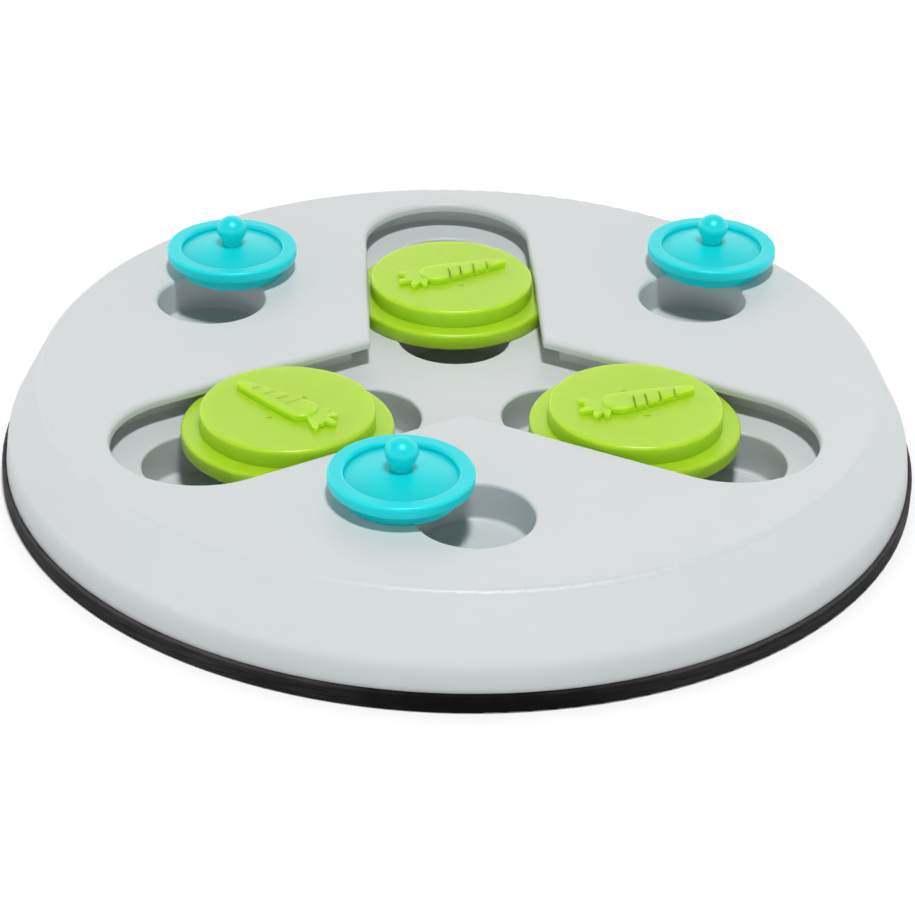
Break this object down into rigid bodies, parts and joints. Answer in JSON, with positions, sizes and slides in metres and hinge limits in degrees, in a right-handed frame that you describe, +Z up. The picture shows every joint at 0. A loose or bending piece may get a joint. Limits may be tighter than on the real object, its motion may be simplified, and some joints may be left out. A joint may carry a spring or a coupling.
{
  "type": "pet puzzle board",
  "caption": "Round treat-puzzle board for a dog or cat, with treat cups under sliding discs in a Y-shaped slot and under loose knobbed lids.",
  "frame": {"origin": "on the floor at the centre of the anti-slip ring", "axes": "+Z up; +Y along the slot's back arm, away from the front field; +X to the right"},
  "size_m": [0.23, 0.23, 0.0409],
  "materials": {
    "shell_plastic": "fine satin, light cool grey",
    "deck_plastic": "fine satin, light cool grey",
    "ring_rubber": "black, matt",
    "slider_plastic": "bright green, soft gloss",
    "lid_plastic": "turquoise, glossy",
    "screw_steel": "zinc plated"
  },
  "bodies": {
    "board": {"top_shell": "shell_plastic", "slide_deck": "deck_plastic", "anti_slip_ring": "ring_rubber", "deck_screws": "screw_steel"},
    "slider_back": {"slider_back": "slider_plastic"},
    "slider_left": {"slider_left": "slider_plastic"},
    "slider_right": {"slider_right": "slider_plastic"},
    "lid_back_left": {"lid_back_left": "lid_plastic"},
    "lid_back_right": {"lid_back_right": "lid_plastic"},
    "lid_front": {"lid_front": "lid_plastic"}
  },
  "joints": [
    {"name": "slider_back_slide", "type": "slide", "parent": "board", "child": "slider_back", "axis": [0, 1, 0], "range_m": [-0.0167, 0.0263]},
    {"name": "slider_left_slide", "type": "slide", "parent": "board", "child": "slider_left", "axis": [-0.866, -0.5, 0], "range_m": [-0.0193, 0.0237]},
    {"name": "slider_right_slide", "type": "slide", "parent": "board", "child": "slider_right", "axis": [0.866, -0.5, 0], "range_m": [-0.018, 0.0248]},
    {"name": "lid_back_left_lift", "type": "slide", "parent": "board", "child": "lid_back_left", "axis": [0, 0, 1], "range_m": [0, 0.06]},
    {"name": "lid_back_right_lift", "type": "slide", "parent": "board", "child": "lid_back_right", "axis": [0, 0, 1], "range_m": [0, 0.06]},
    {"name": "lid_front_lift", "type": "slide", "parent": "board", "child": "lid_front", "axis": [0, 0, 1], "range_m": [0, 0.06]}
  ]
}
